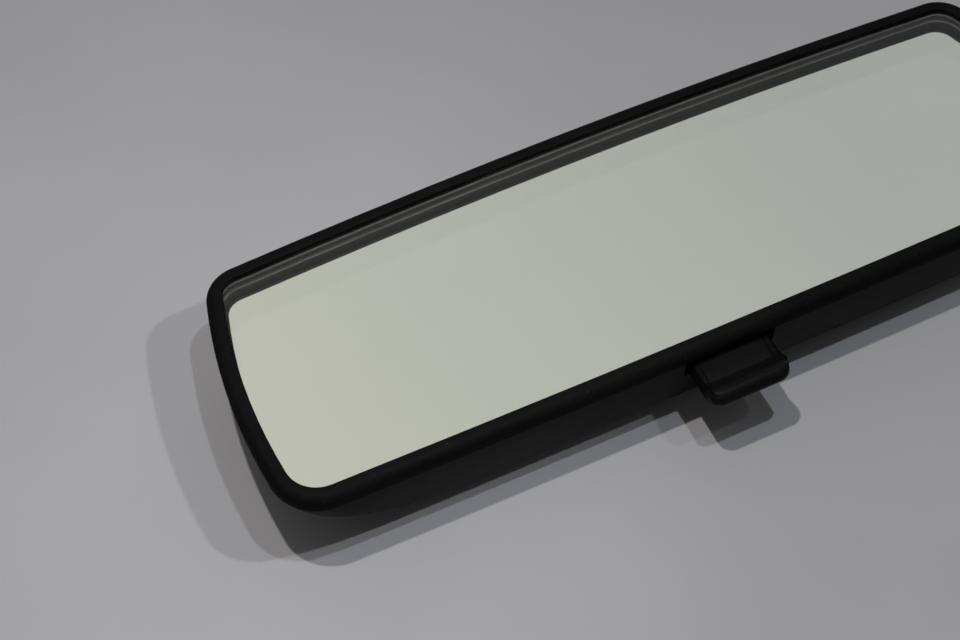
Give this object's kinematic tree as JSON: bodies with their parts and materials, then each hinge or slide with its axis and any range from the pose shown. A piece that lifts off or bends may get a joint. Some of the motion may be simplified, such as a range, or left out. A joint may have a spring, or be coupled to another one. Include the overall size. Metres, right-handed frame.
{
  "type": "interior rearview mirror",
  "caption": "Interior rearview mirror: long head with wedge glass in a soft black frame, day/night finger lever, double ball arm and windscreen foot.",
  "frame": {"origin": "under the middle of the head, on the surface that the mirror lies on with its glass up", "axes": "+X along the head, +Y to the head's top edge, -Y to the lever, +Z the way the glass faces"},
  "size_m": [0.2406, 0.1048, 0.034],
  "materials": {
    "soft_black": "soft, fine grain, satin",
    "housing_black": "fine grain, satin",
    "lever_black": "fine grain, polished roll",
    "clear_glass": "polished, ground edge",
    "silver": "mirror",
    "grey_film": "matt",
    "foam": "open cell, matt",
    "bracket_nylon": "glass filled, matt",
    "acetal": "natural white, slippery",
    "cast_zinc": "black powder coat",
    "polished_ball": "polished",
    "steel": "drawn",
    "spring_steel": "blued",
    "zinc_plated": "zinc plated",
    "rubber": "matt"
  },
  "bodies": {
    "foot": {"windscreen_foot": "cast_zinc", "foot_ball_cap": "cast_zinc", "cap_screws": "zinc_plated", "button_set_screw": "zinc_plated"},
    "foot_joint_liner": {"foot_ball_liner": "acetal"},
    "arm": {"mirror_arm": "cast_zinc", "head_ball": "polished_ball", "foot_ball": "polished_ball"},
    "head_joint_liner": {"head_ball_liner": "acetal"},
    "bracket": {"pivot_bracket": "bracket_nylon", "ball_clamp_plate": "zinc_plated", "clamp_screws": "zinc_plated", "toggle_spring": "spring_steel", "spring_rivets": "steel", "stop_bumpers": "rubber"},
    "head": {"rear_housing": "housing_black", "front_bezel": "soft_black", "prism_glass": "clear_glass", "silver_coating": "silver", "backing_film": "grey_film", "foam_pads": "foam", "hinge_pins": "steel", "lever_pin": "steel"},
    "lever": {"toggle_lever": "lever_black", "crank_pin": "steel"}
  },
  "joints": [
    {"name": "foot_swing", "type": "hinge", "parent": "foot", "child": "foot_joint_liner", "pos_m": [0, 0.034, 0.0064], "axis": [0, 0, 1], "range_deg": [-14, 14]},
    {"name": "foot_nod", "type": "hinge", "parent": "foot_joint_liner", "child": "arm", "pos_m": [0, 0.034, 0.0064], "axis": [1, 0, 0], "range_deg": [-14, 14]},
    {"name": "head_pan", "type": "hinge", "parent": "arm", "child": "head_joint_liner", "pos_m": [0, -0.004, 0.014], "axis": [0, 1, 0], "range_deg": [-12, 12]},
    {"name": "head_unfold", "type": "hinge", "parent": "head_joint_liner", "child": "bracket", "pos_m": [0, -0.004, 0.014], "axis": [1, 0, 0], "range_deg": [0, 55]},
    {"name": "head_tilt", "type": "hinge", "parent": "bracket", "child": "head", "pos_m": [0, 0.016, 0.016], "axis": [-1, 0, 0], "range_deg": [0, 4]},
    {"name": "lever_flip", "type": "hinge", "parent": "head", "child": "lever", "pos_m": [0, -0.0295, 0.025], "axis": [-1, 0, 0], "range_deg": [0, 12]}
  ],
  "couplings": [
    {"joint": "lever_flip", "follows": "head_tilt", "ratio": 3}
  ]
}
